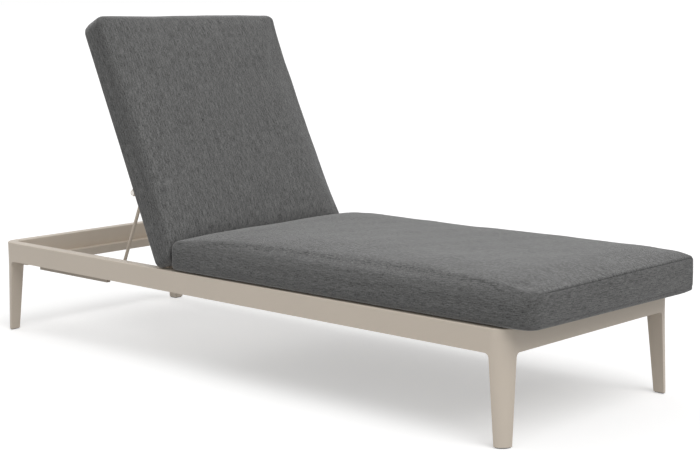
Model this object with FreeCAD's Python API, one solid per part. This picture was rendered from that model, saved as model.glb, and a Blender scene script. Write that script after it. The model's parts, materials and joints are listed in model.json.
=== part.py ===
import FreeCAD, Part
import math
import os

# A sun lounger: a welded aluminium frame on four tapered corner legs, a reclining back
# held by a prop that steps along two racks, and two thick loose cushions.
# Millimetres. +X runs to the foot end, +Y to the sitter's left, +Z up.
# The origin is on the floor under the middle of the whole lounger.

# Frame
FRAME_LENGTH = 2000.0
FRAME_WIDTH = 705.0
FRAME_TOP = 281.0
RAIL_HEIGHT = 60.0
RAIL_WIDTH = 33.0
RAIL_WALL = 2.5
RAIL_EDGE_RADIUS = 3.0

# Corner legs
LEG_TOP_WIDTH = 46.0
LEG_FOOT_WIDTH = 31.0
LEG_FILLET = 12.0
GLIDE_HEIGHT = 2.0
GLIDE_INSET = 2.5
GLIDE_STEM_RADIUS = 4.0
GLIDE_STEM_LENGTH = 14.0

# Seat slats
SEAT_SLAT_COUNT = 8
SEAT_SLAT_WIDTH = 60.0
SEAT_SLAT_HEIGHT = 20.0
SLAT_WALL = 1.5
SEAT_REAR_GAP = 56.0
SEAT_FOOT_GAP = 30.0

# Recline hinge
HINGE_FROM_HEAD = 739.0
HINGE_BELOW_TOP = 26.0
RECLINE_ANGLE = 65.0
HINGE_PIN_RADIUS = 6.0
HINGE_RUNNING_FIT = 0.05
HINGE_BUSH_WALL = 2.0
HINGE_PLATE_LENGTH = 64.0
HINGE_PLATE_HEIGHT = 40.0
HINGE_PLATE_THICKNESS = 5.0
HINGE_BOSS_RADIUS = 13.0
HINGE_BOSS_GAP = 0.5
HINGE_HEAD_RADIUS = 10.0
HINGE_HEAD_THICKNESS = 4.0
HINGE_RIVET_SPACING = 46.0

# Back frame
STILE_WIDTH = 20.0
STILE_DEPTH = 40.0
STILE_ABOVE_HINGE = 15.0
STILE_WALL = 2.0
STILE_PLUG_LENGTH = 34.0
STILE_TO_RAIL_GAP = 26.5
BACK_FRAME_LENGTH = 700.0
BACK_RAIL_WIDTH = 20.0
BACK_BOTTOM_RAIL_START = 36.0
BACK_SLAT_COUNT = 6
BACK_SLAT_WIDTH = 60.0
BACK_SLAT_THICKNESS = 12.0
BACK_SLAT_FIRST = 40.0

# Prop
PROP_PIVOT_DISTANCE = 260.0
PROP_PIVOT_DEPTH = 31.0
PROP_ROD_RADIUS = 5.0
PROP_BEND_RADIUS = 12.0
PROP_LEG_INSET = 60.5
PROP_RUNNING_FIT = 0.05
PROP_CAP_RADIUS = 8.0
PROP_CAP_THICKNESS = 4.0
PROP_CAP_GAP = 0.5
PROP_FOOT_GAP = 0.5
LUG_THICKNESS = 5.0
LUG_RADIUS = 10.0
LUG_HALF_LENGTH = 22.0
LUG_TOP = 5.0
LUG_SHOULDER = 12.0

# Racks and rest bar
RACK_FROM_HEAD = 152.0
RACK_LENGTH = 337.0
RACK_NOSE = 22.0
RACK_BELOW_RAIL = 18.0
RACK_PLATE_THICKNESS = 4.0
RACK_PLATE_ABOVE = 42.0
RACK_BAR_THICKNESS = 9.0
RACK_NOTCH_COUNT = 5
RACK_NOTCH_DEPTH = 3.5
RACK_NOTCH_RADIUS = 7.0
RACK_CLEARANCE = 0.35
RACK_RIVET_COUNT = 3
RACK_RIVET_BELOW_EDGE = 9.0
RACK_RIVET_END = 40.0
RIVET_RADIUS = 2.5
RIVET_HEAD_RADIUS = 5.0
RIVET_HEAD_THICKNESS = 2.0
REST_BAR_DEPTH = 30.0
REST_BAR_HEIGHT = 25.0
REST_CLEARANCE = 0.5

# Cushions
CUSHION_SIDE_INSET = 7.5
CUSHION_LIFT = 0.5
CUSHION_BOTTOM_RADIUS = 15.0
CUSHION_END_HEIGHT = 83.0
CUSHION_END_RADIUS = 6.0
CUSHION_END_RUN = 90.0
CUSHION_END_OVERRISE = 2.0
CUSHION_SIDE_RADIUS = 30.0
CUSHION_SIDE_RUN = 150.0
CUSHION_DRAW_IN = 4.0
CUSHION_TRIM = 0.5
SEAT_CUSHION_FROM_HEAD = 826.0
SEAT_CUSHION_OVERHANG = 65.0
SEAT_SIDE_HEIGHT = 100.0
SEAT_CROWN = 8.0
SEAT_CORNER_RADIUS = 16.0
BACK_CUSHION_START = 12.0
BACK_CUSHION_LENGTH = 737.0
BACK_CUSHION_LIFT = 2.0
BACK_SIDE_HEIGHT = 85.0
BACK_CROWN = 15.0
BACK_CORNER_RADIUS = 32.0
CUSHION_PARTING = 3.0

# Places worked out from the sizes above
X_AXIS = FreeCAD.Vector(1, 0, 0)
Y_AXIS = FreeCAD.Vector(0, 1, 0)
Z_AXIS = FreeCAD.Vector(0, 0, 1)
X_HEAD = -(FRAME_LENGTH + SEAT_CUSHION_OVERHANG) / 2
X_FOOT = X_HEAD + FRAME_LENGTH
Y_SIDE = FRAME_WIDTH / 2
Y_INNER = Y_SIDE - RAIL_WIDTH
RAIL_BOTTOM = FRAME_TOP - RAIL_HEIGHT
STUB_END = LEG_TOP_WIDTH + LEG_FILLET
X_HINGE = X_HEAD + HINGE_FROM_HEAD
Z_HINGE = FRAME_TOP - HINGE_BELOW_TOP
HINGE = FreeCAD.Vector(X_HINGE, 0, Z_HINGE)
HINGE_BORE_RADIUS = HINGE_PIN_RADIUS + HINGE_RUNNING_FIT
HINGE_BUSH_RADIUS = HINGE_BORE_RADIUS + HINGE_BUSH_WALL
STILE_OUT = Y_INNER - STILE_TO_RAIL_GAP
STILE_IN = STILE_OUT - STILE_WIDTH
STILE_TOP = Z_HINGE + STILE_ABOVE_HINGE
STILE_BOTTOM = STILE_TOP - STILE_DEPTH
PROP_LEG_Y = Y_INNER - PROP_LEG_INSET
PROP_HOLE_RADIUS = PROP_ROD_RADIUS + PROP_RUNNING_FIT
X_PROP_PIVOT = X_HINGE - PROP_PIVOT_DISTANCE
Z_PROP_PIVOT = Z_HINGE - PROP_PIVOT_DEPTH
RACK_PLATE_IN = Y_INNER - RACK_PLATE_THICKNESS
RACK_BAR_IN = RACK_PLATE_IN - RACK_BAR_THICKNESS
RACK_BOTTOM = RAIL_BOTTOM - RACK_BELOW_RAIL
RACK_PLATE_TOP = RAIL_BOTTOM + RACK_PLATE_ABOVE
X_RACK = X_HEAD + RACK_FROM_HEAD
REST_BAR_TOP = STILE_BOTTOM - REST_CLEARANCE
X_SEAT_CUSHION = X_HEAD + SEAT_CUSHION_FROM_HEAD
SEAT_CUSHION_LENGTH = X_FOOT + SEAT_CUSHION_OVERHANG - X_SEAT_CUSHION
CUSHION_WIDTH = FRAME_WIDTH - CUSHION_SIDE_INSET - CUSHION_SIDE_INSET


def box(x0, x1, y0, y1, z0, z1):
    """A block between two limits along each axis."""
    return Part.makeBox(x1 - x0, y1 - y0, z1 - z0, FreeCAD.Vector(x0, y0, z0))


def rod_y(x, z, y0, y1, radius):
    """A round bar along Y."""
    return Part.makeCylinder(radius, y1 - y0, FreeCAD.Vector(x, y0, z), Y_AXIS)


def mirrored(shape):
    """The same piece on the other long side."""
    return shape.mirror(FreeCAD.Vector(0, 0, 0), Y_AXIS)


def pair(name, shape):
    """One piece made on the sitter's left, and its twin on the right."""
    return {name + "_left": shape, name + "_right": mirrored(shape)}


def prism(edges, direction):
    """A solid swept straight from one closed flat outline."""
    return Part.Face(Part.Wire(edges)).extrude(direction)


def line(a, b):
    """A straight edge."""
    return Part.LineSegment(a, b).toShape()


def arc(a, middle, b):
    """A round edge through three points."""
    return Part.Arc(a, middle, b).toShape()


def corner_arc(centre, radius, start, end, first, second):
    """An arc about a centre, with angles in degrees in the plane of two unit vectors."""
    def at(angle):
        turn = math.radians(angle)
        return centre + first * (radius * math.cos(turn)) + second * (radius * math.sin(turn))
    return arc(at(start), at((start + end) / 2), at(end))


def reclined(shape):
    """A back piece, made lying flat, raised about the hinge to its resting angle."""
    return shape.rotated(HINGE, Y_AXIS, RECLINE_ANGLE)


def tube(x0, x1, y0, y1, z0, z1, wall, axis):
    """A hollow rectangular bar, open at both ends along one axis."""
    wx, wy, wz = (0 if axis == name else wall for name in "xyz")
    return box(x0, x1, y0, y1, z0, z1).cut(box(x0 + wx, x1 - wx, y0 + wy, y1 - wy, z0 + wz, z1 - wz))


def round_top(shape, ends):
    """Rounds the long top edges of a rail, apart from the edges on its end planes."""
    edges = [e for e in shape.Edges if e.BoundBox.ZMin > FRAME_TOP - RAIL_EDGE_RADIUS]
    return shape.makeFillet(RAIL_EDGE_RADIUS, [e for e in edges if not ends(e)])


# Rails
def side_rail():
    """The left side rail, a hollow bar between the two left corner legs."""
    x0, x1 = X_HEAD + STUB_END, X_FOOT - STUB_END
    outer = box(x0, x1, Y_INNER, Y_SIDE, RAIL_BOTTOM, FRAME_TOP)
    outer = round_top(outer, lambda edge: edge.BoundBox.YLength > edge.BoundBox.XLength)
    return outer.cut(box(x0, x1, Y_INNER + RAIL_WALL, Y_SIDE - RAIL_WALL,
                         RAIL_BOTTOM + RAIL_WALL, FRAME_TOP - RAIL_WALL))


def end_rail(x_outer, inward):
    """A hollow cross rail at the head or the foot, between two corner legs."""
    y = Y_SIDE - STUB_END
    x0, x1 = sorted((x_outer, x_outer + inward * RAIL_WIDTH))
    outer = box(x0, x1, -y, y, RAIL_BOTTOM, FRAME_TOP)
    outer = round_top(outer, lambda edge: edge.BoundBox.XLength > edge.BoundBox.YLength)
    return outer.cut(box(x0 + RAIL_WALL, x1 - RAIL_WALL, -y, y,
                         RAIL_BOTTOM + RAIL_WALL, FRAME_TOP - RAIL_WALL))


# Corner legs, made at a corner whose two outer faces are x = 0 and y = 0
def quarter(width, z):
    """The leg's outline at one height: two flat inner sides and a quarter round outside."""
    a = FreeCAD.Vector(width, 0, z)
    b = FreeCAD.Vector(0, width, z)
    inner = FreeCAD.Vector(width, width, z)
    return Part.Wire([corner_arc(inner, width, 270, 180, X_AXIS, Y_AXIS), line(b, inner), line(inner, a)])


def elbow():
    """The rail corner on top of the leg, with a short stub for each rail."""
    centre = FreeCAD.Vector(LEG_TOP_WIDTH, LEG_TOP_WIDTH, RAIL_BOTTOM)
    points = [FreeCAD.Vector(x, y, RAIL_BOTTOM) for x, y in (
        (0, LEG_TOP_WIDTH), (0, STUB_END), (RAIL_WIDTH, STUB_END), (RAIL_WIDTH, RAIL_WIDTH),
        (STUB_END, RAIL_WIDTH), (STUB_END, 0), (LEG_TOP_WIDTH, 0))]
    edges = [line(a, b) for a, b in zip(points, points[1:])]
    edges.append(corner_arc(centre, LEG_TOP_WIDTH, 270, 180, X_AXIS, Y_AXIS))
    block = prism(edges, Z_AXIS * RAIL_HEIGHT)

    inside = STUB_END - RAIL_EDGE_RADIUS
    return round_top(block, lambda edge: max(edge.BoundBox.XMin, edge.BoundBox.YMin) > inside)


def web(along, across):
    """The small rounded web between the leg and the underside of one rail."""
    corner = along * LEG_TOP_WIDTH + Z_AXIS * RAIL_BOTTOM
    tip = along * STUB_END + Z_AXIS * RAIL_BOTTOM
    heel = corner - Z_AXIS * LEG_FILLET
    centre = tip - Z_AXIS * LEG_FILLET
    curve = corner_arc(centre, LEG_FILLET, 90, 180, along, Z_AXIS)
    return prism([line(corner, tip), curve, line(heel, corner)], across * RAIL_WIDTH)


def glide_stem():
    """The stem of a glide, and the socket for it in the leg."""
    base = FreeCAD.Vector(LEG_FOOT_WIDTH / 2, LEG_FOOT_WIDTH / 2, GLIDE_HEIGHT)
    return Part.makeCylinder(GLIDE_STEM_RADIUS, GLIDE_STEM_LENGTH, base)


def corner_leg():
    """One corner: rail elbow, tapered leg and webs, one welded and ground piece."""
    shoulder = RAIL_BOTTOM - LEG_FILLET
    neck_outline = quarter(LEG_TOP_WIDTH, shoulder)
    taper = Part.makeLoft([quarter(LEG_FOOT_WIDTH, GLIDE_HEIGHT), neck_outline], True, True)
    neck = Part.Face(neck_outline).extrude(Z_AXIS * LEG_FILLET)
    leg = elbow().multiFuse([taper, neck, web(X_AXIS, Y_AXIS), web(Y_AXIS, X_AXIS)])
    return leg.removeSplitter().cut(glide_stem())


def glide():
    """The plastic pad under a leg, with its stem pushed up into the leg."""
    pad = Part.Face(quarter(LEG_FOOT_WIDTH - GLIDE_INSET - GLIDE_INSET, 0)).extrude(Z_AXIS * GLIDE_HEIGHT)
    pad.translate(FreeCAD.Vector(GLIDE_INSET, GLIDE_INSET, 0))
    return pad.fuse(glide_stem())


def at_corners(name, shape):
    """Places a corner piece at the four corners of the frame."""
    origin = FreeCAD.Vector(0, 0, 0)
    placed = {}
    for end, x, flip_x in (("head", X_HEAD, False), ("foot", X_FOOT, True)):
        for side, y, flip_y in (("right", -Y_SIDE, False), ("left", Y_SIDE, True)):
            piece = shape.mirror(origin, X_AXIS) if flip_x else shape.copy()
            piece = piece.mirror(origin, Y_AXIS) if flip_y else piece
            piece.translate(FreeCAD.Vector(x, y, 0))
            placed["_".join((name, end, side))] = piece
    return placed


# Seat
def seat_slats():
    """Hollow cross slats between the side rails, flush with the top of the frame."""
    first = X_HINGE + SEAT_REAR_GAP
    last = X_FOOT - RAIL_WIDTH - SEAT_FOOT_GAP - SEAT_SLAT_WIDTH
    pitch = (last - first) / (SEAT_SLAT_COUNT - 1)
    slats = {}
    for i in range(SEAT_SLAT_COUNT):
        x0 = first + i * pitch
        slats["seat_slat_%d" % (i + 1)] = tube(x0, x0 + SEAT_SLAT_WIDTH, -Y_INNER, Y_INNER,
                                               FRAME_TOP - SEAT_SLAT_HEIGHT, FRAME_TOP, SLAT_WALL, "y")
    return slats


# Cushions
def cushion_profile(length, edge, crown, run, radii, first, second):
    """A cushion's cut across one direction: flat below, round corners, a top that rises over a run."""
    bottom, top = radii
    bow = (run * run + crown * crown) / (crown + crown)
    half_turn = math.asin(run / bow) / 2
    inset, swell = run - bow * math.sin(half_turn), crown - bow * (1 - math.cos(half_turn))
    low, high, near, far = edge - top, edge + crown, top, length - top

    def at(u, v):
        return first * u + second * v
    return [
        line(at(bottom, 0), at(length - bottom, 0)),
        corner_arc(at(length - bottom, bottom), bottom, 270, 360, first, second),
        line(at(length, bottom), at(length, low)),
        corner_arc(at(far, low), top, 0, 90, first, second),
        arc(at(far, edge), at(far - inset, edge + swell), at(far - run, high)),
        line(at(far - run, high), at(near + run, high)),
        arc(at(near + run, high), at(near + inset, edge + swell), at(near, edge)),
        corner_arc(at(near, low), top, 90, 180, first, second),
        line(at(0, low), at(0, bottom)),
        corner_arc(at(bottom, bottom), bottom, 180, 270, first, second)]


def cushion_plan(length, width, r):
    """A cushion's outline from above: round corners and long sides drawn in between them."""
    half = width / 2

    def at(x, y):
        return FreeCAD.Vector(x, y, 0)
    edges = []
    for x_end, x_start, side, turn in ((length, 0, -half, 0), (0, length, half, 180)):
        toward = 1 if x_end > x_start else -1
        inner_end, inner_side = x_end - toward * r, side + toward * r
        edges.append(arc(at(x_start + toward * r, side), at(length / 2, side + toward * CUSHION_DRAW_IN),
                         at(inner_end, side)))
        edges.append(corner_arc(at(inner_end, inner_side), r, turn - 90, turn, X_AXIS, Y_AXIS))
        edges.append(line(at(x_end, inner_side), at(x_end, -inner_side)))
        edges.append(corner_arc(at(inner_end, -inner_side), r, turn, turn + 90, X_AXIS, Y_AXIS))
    return edges


def cushion(length, side_height, crown, corner_radius):
    """A plump cushion lying flat, from x = 0 along +X: round long sides, lower sewn ends."""
    trim = CUSHION_TRIM
    long_size, wide_size = length + trim + trim, CUSHION_WIDTH + trim + trim
    corner = FreeCAD.Vector(-trim, -wide_size / 2, 0)
    end_rise = side_height + crown + CUSHION_END_OVERRISE - CUSHION_END_HEIGHT
    end_cut = cushion_profile(long_size, CUSHION_END_HEIGHT, end_rise, CUSHION_END_RUN,
                              (CUSHION_BOTTOM_RADIUS, CUSHION_END_RADIUS), X_AXIS, Z_AXIS)
    side_cut = cushion_profile(wide_size, side_height, crown, CUSHION_SIDE_RUN,
                               (CUSHION_BOTTOM_RADIUS, CUSHION_SIDE_RADIUS), Y_AXIS, Z_AXIS)
    long_block = prism(end_cut, Y_AXIS * wide_size).translated(corner)
    cross_block = prism(side_cut, X_AXIS * long_size).translated(corner)
    outline = cushion_plan(length, CUSHION_WIDTH, corner_radius)
    column = prism(outline, Z_AXIS * (CUSHION_END_HEIGHT + end_rise + trim + trim))
    return long_block.common(cross_block).common(column.translated(Z_AXIS * -trim))


def seat_cushion():
    """The long seat cushion, reaching a little past the foot rail."""
    shape = cushion(SEAT_CUSHION_LENGTH, SEAT_SIDE_HEIGHT, SEAT_CROWN, SEAT_CORNER_RADIUS)
    shape.translate(FreeCAD.Vector(X_SEAT_CUSHION, 0, FRAME_TOP + CUSHION_LIFT))
    return shape


def back_cushion():
    """The back cushion, its lower front edge pressed flat where it meets the seat cushion."""
    shape = cushion(BACK_CUSHION_LENGTH, BACK_SIDE_HEIGHT, BACK_CROWN, BACK_CORNER_RADIUS)
    flat_z = max(STILE_TOP + BACK_SLAT_THICKNESS + CUSHION_LIFT, FRAME_TOP + BACK_CUSHION_LIFT)
    shape.translate(FreeCAD.Vector(X_HINGE - BACK_CUSHION_START - BACK_CUSHION_LENGTH, 0, flat_z))
    shape = reclined(shape)
    limit = shape.BoundBox
    x_meet = X_SEAT_CUSHION - CUSHION_PARTING
    return shape.common(box(limit.XMin, x_meet, limit.YMin, limit.YMax, limit.ZMin, limit.ZMax))


# Back frame, made lying flat: its length runs from the hinge to -X
def stile():
    """The left stile, a hollow bar with a solid rounded end that turns on the hinge."""
    x_top = X_HINGE - BACK_FRAME_LENGTH
    middle = FreeCAD.Vector(X_HINGE, STILE_IN, (STILE_TOP + STILE_BOTTOM) / 2)
    outer = box(x_top, X_HINGE, STILE_IN, STILE_OUT, STILE_BOTTOM, STILE_TOP)
    outer = outer.fuse(Part.makeCylinder(STILE_DEPTH / 2, STILE_WIDTH, middle, Y_AXIS)).removeSplitter()
    hollow = box(x_top + STILE_WALL, X_HINGE - STILE_PLUG_LENGTH,
                 STILE_IN + STILE_WALL, STILE_OUT - STILE_WALL,
                 STILE_BOTTOM + STILE_WALL, STILE_TOP - STILE_WALL)
    bore = rod_y(X_HINGE, Z_HINGE, STILE_IN, STILE_OUT, HINGE_BUSH_RADIUS)
    return outer.cut(hollow).cut(bore)


def hinge_bush():
    """The plastic bush in the stile's lower end."""
    outer = rod_y(X_HINGE, Z_HINGE, STILE_IN, STILE_OUT, HINGE_BUSH_RADIUS)
    return outer.cut(rod_y(X_HINGE, Z_HINGE, STILE_IN, STILE_OUT, HINGE_BORE_RADIUS))


def back_rail(start):
    """A hollow cross rail between the stiles, at a distance up from the hinge."""
    x1 = X_HINGE - start
    return tube(x1 - BACK_RAIL_WIDTH, x1, -STILE_IN, STILE_IN, STILE_BOTTOM, STILE_TOP, STILE_WALL, "y")


def back_slats():
    """Hollow cross slats on top of the stiles, under the back cushion."""
    last = BACK_FRAME_LENGTH - BACK_SLAT_WIDTH
    pitch = (last - BACK_SLAT_FIRST) / (BACK_SLAT_COUNT - 1)
    slats = {}
    for i in range(BACK_SLAT_COUNT):
        x1 = X_HINGE - BACK_SLAT_FIRST - i * pitch
        slat = tube(x1 - BACK_SLAT_WIDTH, x1, -STILE_OUT, STILE_OUT,
                    STILE_TOP, STILE_TOP + BACK_SLAT_THICKNESS, SLAT_WALL, "y")
        slats["back_slat_%d" % (i + 1)] = reclined(slat)
    return slats


def prop_lug():
    """The left lug plate on the stile's outer side, which carries the prop's rod."""
    def at(dx, z):
        return FreeCAD.Vector(X_PROP_PIVOT + dx, STILE_OUT, z)
    top, shoulder = Z_HINGE + LUG_TOP, Z_HINGE - LUG_SHOULDER
    points = [at(-LUG_HALF_LENGTH, top), at(LUG_HALF_LENGTH, top), at(LUG_HALF_LENGTH, shoulder),
              at(LUG_RADIUS, Z_PROP_PIVOT), at(-LUG_RADIUS, Z_PROP_PIVOT), at(-LUG_HALF_LENGTH, shoulder)]
    edges = [line(a, b) for a, b in zip(points, points[1:] + points[:1])]
    plate = prism(edges, Y_AXIS * LUG_THICKNESS)
    y1 = STILE_OUT + LUG_THICKNESS
    plate = plate.fuse(rod_y(X_PROP_PIVOT, Z_PROP_PIVOT, STILE_OUT, y1, LUG_RADIUS)).removeSplitter()
    return plate.cut(rod_y(X_PROP_PIVOT, Z_PROP_PIVOT, STILE_OUT, y1, PROP_HOLE_RADIUS))


# Prop, made folded flat under the back: its legs run from the pivot to -X
def prop_end():
    """The outer end of the prop's rod, just past the lug."""
    return STILE_OUT + LUG_THICKNESS + PROP_CAP_GAP


def prop_rod():
    """The cross rod that turns in the two lugs."""
    return rod_y(X_PROP_PIVOT, Z_PROP_PIVOT, -prop_end(), prop_end(), PROP_ROD_RADIUS)


def prop_cap():
    """The left round cap on the rod's end."""
    return rod_y(X_PROP_PIVOT, Z_PROP_PIVOT, prop_end(), prop_end() + PROP_CAP_THICKNESS, PROP_CAP_RADIUS)


def prop_leg():
    """The left leg, a bent rod whose foot turns outward to stand on the rack."""
    def at(dx, y):
        return FreeCAD.Vector(X_PROP_PIVOT - dx, y, Z_PROP_PIVOT)
    bend = PROP_PIVOT_DISTANCE - PROP_BEND_RADIUS
    inner = PROP_LEG_Y + PROP_BEND_RADIUS
    outer = RACK_PLATE_IN - PROP_FOOT_GAP
    leg = line(at(0, PROP_LEG_Y), at(bend, PROP_LEG_Y))
    curve = corner_arc(at(bend, inner), PROP_BEND_RADIUS, 270, 180, X_AXIS, Y_AXIS)
    foot = line(at(PROP_PIVOT_DISTANCE, inner), at(PROP_PIVOT_DISTANCE, outer))
    path = Part.Wire([leg, curve, foot])
    ring = Part.Wire(Part.makeCircle(PROP_ROD_RADIUS, at(0, PROP_LEG_Y), X_AXIS))
    return path.makePipeShell([ring], True, False).cut(prop_rod())


def propped(shape):
    """A prop piece turned from folded to its resting place under the raised back."""
    folded = FreeCAD.Vector(X_PROP_PIVOT, 0, Z_PROP_PIVOT)
    turned = shape.rotated(folded, Y_AXIS, -RECLINE_ANGLE)
    turn = math.radians(RECLINE_ANGLE)
    raised = HINGE + FreeCAD.Vector(-math.cos(turn), 0, math.sin(turn)) * PROP_PIVOT_DISTANCE
    raised = raised - FreeCAD.Vector(math.sin(turn), 0, math.cos(turn)) * PROP_PIVOT_DEPTH
    return turned.translated(raised - folded)


# Racks
def foot_place(angle):
    """Where the prop's foot stands for a back angle: distance from the hinge, and height."""
    turn = math.radians(angle)
    reach = (PROP_PIVOT_DISTANCE + PROP_PIVOT_DISTANCE) * math.cos(turn) + PROP_PIVOT_DEPTH * math.sin(turn)
    return X_HINGE - reach, Z_HINGE - PROP_PIVOT_DEPTH * math.cos(turn)


def rack_outline(z_head, z_foot, y):
    """The rack's side outline, with a nose at the foot end that hides behind the rail."""
    x1 = X_RACK + RACK_LENGTH
    points = [(X_RACK, RACK_BOTTOM), (x1, RACK_BOTTOM), (x1, RAIL_BOTTOM), (x1 + RACK_NOSE, RAIL_BOTTOM),
              (x1 + RACK_NOSE, z_foot), (X_RACK, z_head)]
    corners = [FreeCAD.Vector(x, y, z) for x, z in points]
    return [line(a, b) for a, b in zip(corners, corners[1:] + corners[:1])]


def rack_bar():
    """The left notched bar that the prop's foot stands on."""
    (x_up, z_up), (x_flat, z_flat) = foot_place(RECLINE_ANGLE), foot_place(0)
    slope = (z_up - z_flat) / (x_up - x_flat)
    drop = PROP_ROD_RADIUS + RACK_CLEARANCE

    def crest(x):
        return z_flat - drop + slope * (x - x_flat)
    bar = prism(rack_outline(crest(X_RACK), crest(X_RACK + RACK_LENGTH + RACK_NOSE), RACK_BAR_IN),
                Y_AXIS * RACK_BAR_THICKNESS)
    for i in range(RACK_NOTCH_COUNT):
        x = x_up + (x_flat - x_up) * i / (RACK_NOTCH_COUNT - 1)
        z = crest(x) + RACK_NOTCH_RADIUS - RACK_NOTCH_DEPTH
        bar = bar.cut(rod_y(x, z, RACK_BAR_IN, RACK_PLATE_IN, RACK_NOTCH_RADIUS))
    return bar


def rack_rivet_places():
    """Centres of the rivets that hold a rack's plate to its rail."""
    z = RACK_PLATE_TOP - RACK_RIVET_BELOW_EDGE
    step = (RACK_LENGTH - RACK_RIVET_END - RACK_RIVET_END) / (RACK_RIVET_COUNT - 1)
    return [(X_RACK + RACK_RIVET_END + i * step, z) for i in range(RACK_RIVET_COUNT)]


def hinge_rivet_places():
    """Centres of the rivets that hold a hinge plate to its rail."""
    return [(X_HINGE + sign * HINGE_RIVET_SPACING / 2, Z_HINGE) for sign in (-1, 1)]


def rivet(x, z, y_face):
    """A rivet from a plate's face out through the rail's inner wall."""
    shank = rod_y(x, z, y_face, Y_INNER + RAIL_WALL, RIVET_RADIUS)
    return shank.fuse(rod_y(x, z, y_face - RIVET_HEAD_THICKNESS, y_face, RIVET_HEAD_RADIUS)).removeSplitter()


def drilled(shape, places):
    """A rail or plate with the rivets' holes."""
    for x, z in places:
        shape = shape.cut(rod_y(x, z, 0, Y_INNER + RAIL_WALL, RIVET_RADIUS))
    return shape


def rack_plate():
    """The left rack's plate against the inside of the side rail."""
    plate = prism(rack_outline(RACK_PLATE_TOP, RACK_PLATE_TOP, RACK_PLATE_IN), Y_AXIS * RACK_PLATE_THICKNESS)
    return drilled(plate, rack_rivet_places())


# Hinge on the frame
def hinge_plate():
    """The left hinge plate with its boss, riveted to the inside of the side rail."""
    y0 = Y_INNER - HINGE_PLATE_THICKNESS
    plate = box(X_HINGE - HINGE_PLATE_LENGTH / 2, X_HINGE + HINGE_PLATE_LENGTH / 2, y0, Y_INNER,
                Z_HINGE - HINGE_PLATE_HEIGHT / 2, Z_HINGE + HINGE_PLATE_HEIGHT / 2)
    plate = plate.fuse(rod_y(X_HINGE, Z_HINGE, STILE_OUT + HINGE_BOSS_GAP, y0, HINGE_BOSS_RADIUS))
    plate = plate.cut(rod_y(X_HINGE, Z_HINGE, STILE_OUT, Y_INNER, HINGE_PIN_RADIUS))
    return drilled(plate, hinge_rivet_places())


def hinge_pin():
    """The left hinge pin, fixed in the boss, with its head inside the stile."""
    y_head = STILE_IN - HINGE_BOSS_GAP
    pin = rod_y(X_HINGE, Z_HINGE, y_head, Y_INNER, HINGE_PIN_RADIUS)
    head = rod_y(X_HINGE, Z_HINGE, y_head - HINGE_HEAD_THICKNESS, y_head, HINGE_HEAD_RADIUS)
    return pin.fuse(head).removeSplitter()


def rest_bar():
    """The cross bar inside the head rail that the lowered back lies on."""
    x0, y = X_HEAD + RAIL_WIDTH, Y_SIDE - LEG_TOP_WIDTH
    z0 = REST_BAR_TOP - REST_BAR_HEIGHT
    return tube(x0, x0 + REST_BAR_DEPTH, -y, y, z0, REST_BAR_TOP, STILE_WALL, "y")


def both_sides(shapes):
    """A group of like pieces on both long sides, kept as separate solids."""
    return Part.makeCompound(shapes + [mirrored(s) for s in shapes])


def build():
    """Every piece of the lounger by its node name."""
    nodes = {}
    rail_holes = rack_rivet_places() + hinge_rivet_places()
    nodes.update(pair("side_rail", drilled(side_rail(), rail_holes)))
    nodes["head_rail"] = end_rail(X_HEAD, 1)
    nodes["foot_rail"] = end_rail(X_FOOT, -1)
    nodes.update(at_corners("leg", corner_leg()))
    nodes.update(at_corners("glide", glide()))
    nodes["rest_bar"] = rest_bar()
    nodes.update(seat_slats())
    nodes.update(pair("hinge_plate", hinge_plate()))
    nodes.update(pair("hinge_pin", hinge_pin()))
    hinge_face = Y_INNER - HINGE_PLATE_THICKNESS
    nodes["hinge_rivets"] = both_sides([rivet(x, z, hinge_face) for x, z in hinge_rivet_places()])
    nodes.update(pair("rack_plate", rack_plate()))
    nodes.update(pair("rack_bar", rack_bar()))
    nodes["rack_rivets"] = both_sides([rivet(x, z, RACK_PLATE_IN) for x, z in rack_rivet_places()])
    nodes["seat_cushion"] = seat_cushion()
    nodes.update(pair("back_stile", reclined(stile())))
    nodes.update(pair("hinge_bush", reclined(hinge_bush())))
    nodes["back_bottom_rail"] = reclined(back_rail(BACK_BOTTOM_RAIL_START))
    nodes["back_top_rail"] = reclined(back_rail(BACK_FRAME_LENGTH - BACK_RAIL_WIDTH))
    nodes.update(back_slats())
    nodes.update(pair("prop_lug", reclined(prop_lug())))
    nodes["back_cushion"] = back_cushion()
    nodes["prop_rod"] = propped(prop_rod())
    nodes.update(pair("prop_leg", propped(prop_leg())))
    nodes.update(pair("prop_cap", propped(prop_cap())))
    return nodes


os.makedirs("parts", exist_ok=True)
for node, solid in build().items():
    solid.exportStep("parts/" + node + ".step")
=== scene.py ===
import json
import logging
import math
from dataclasses import dataclass
from enum import Enum

import bpy
import numpy as np
from mathutils import Matrix, Vector


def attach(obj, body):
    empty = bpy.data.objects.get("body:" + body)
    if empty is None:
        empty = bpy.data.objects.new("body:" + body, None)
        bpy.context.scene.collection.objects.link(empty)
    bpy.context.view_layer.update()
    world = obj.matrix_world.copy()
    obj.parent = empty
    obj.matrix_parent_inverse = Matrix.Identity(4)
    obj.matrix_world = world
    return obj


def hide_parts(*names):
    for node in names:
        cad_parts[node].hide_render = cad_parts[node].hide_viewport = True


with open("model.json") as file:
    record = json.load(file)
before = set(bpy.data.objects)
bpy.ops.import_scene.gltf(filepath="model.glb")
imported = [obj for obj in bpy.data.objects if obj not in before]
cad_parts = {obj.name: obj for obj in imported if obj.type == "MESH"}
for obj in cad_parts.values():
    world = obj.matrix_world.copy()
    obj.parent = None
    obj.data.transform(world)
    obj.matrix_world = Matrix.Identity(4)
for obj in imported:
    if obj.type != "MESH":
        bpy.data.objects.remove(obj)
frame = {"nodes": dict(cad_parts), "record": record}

LOG = logging.getLogger("sun_lounger")
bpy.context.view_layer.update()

Colour = tuple[float, float, float, float]
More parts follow.
